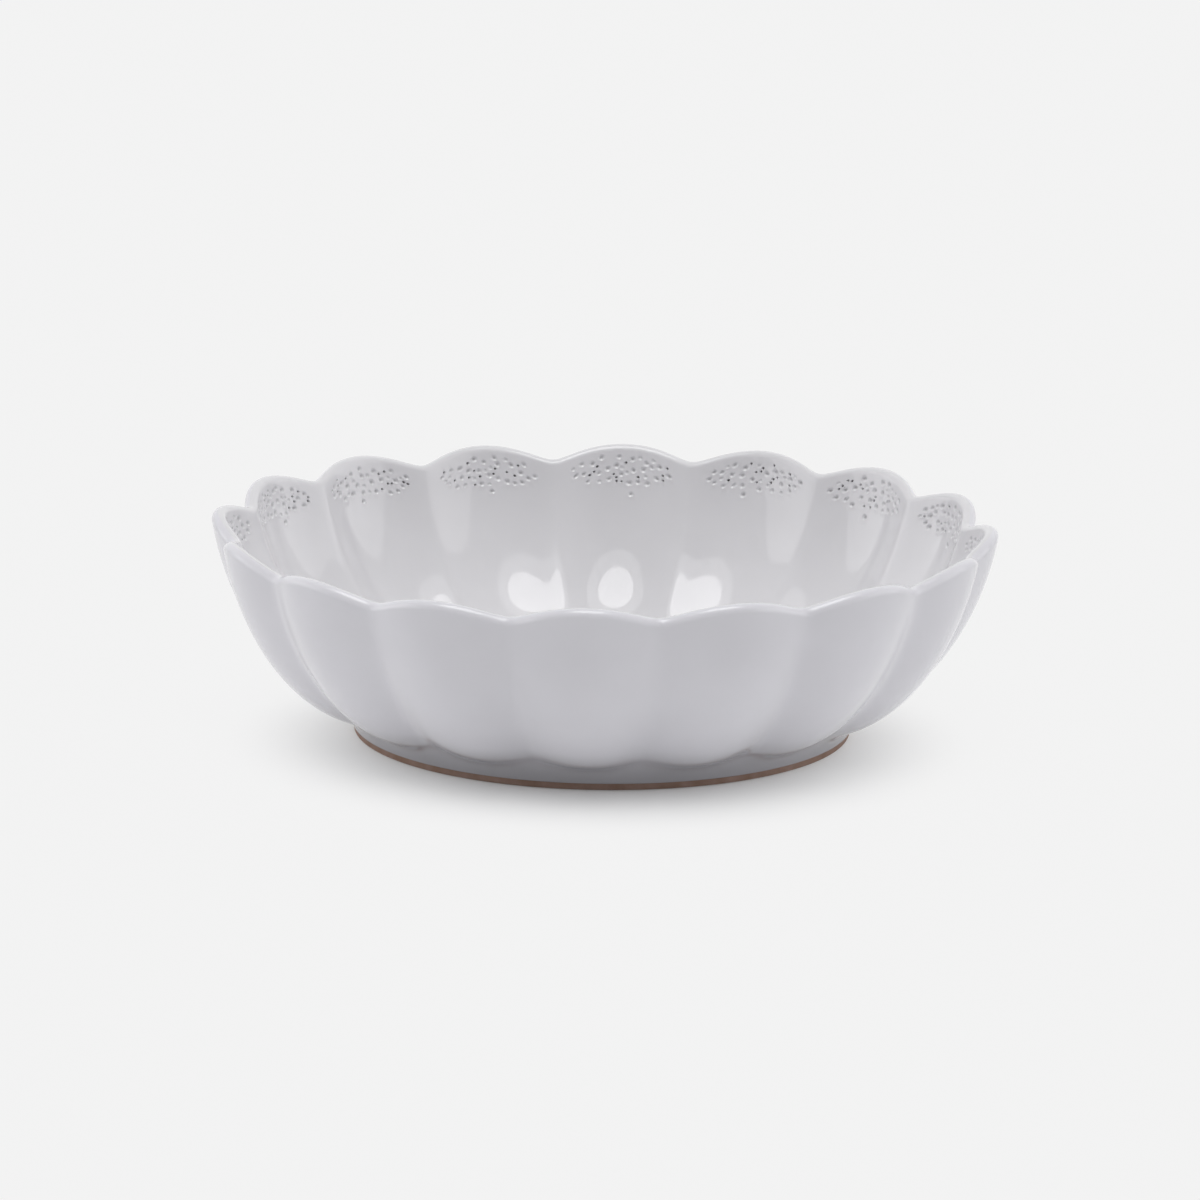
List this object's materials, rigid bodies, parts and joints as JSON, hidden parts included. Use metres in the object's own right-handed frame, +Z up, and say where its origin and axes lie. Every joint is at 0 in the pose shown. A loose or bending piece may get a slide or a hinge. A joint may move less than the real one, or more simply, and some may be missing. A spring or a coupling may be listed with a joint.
{
  "type": "serving bowl",
  "caption": "Round stoneware serving bowl with a lobed wall, a scalloped half-round rim and a low foot ring, glazed white with a bare clay edge at the foot.",
  "frame": {"origin": "middle of the circle that the foot ring stands on", "axes": "+Z up along the bowl's axis, with the middle of one lobe along +X"},
  "size_m": [0.25, 0.25, 0.0676],
  "materials": {
    "stoneware": "fired, unglazed, matt",
    "white_glaze": "glossy white glaze"
  },
  "bodies": {
    "root": {"clay_bowl": "stoneware", "foot_ring": "stoneware", "outer_glaze": "white_glaze", "inner_glaze": "white_glaze", "base_glaze": "white_glaze"}
  },
  "joints": []
}
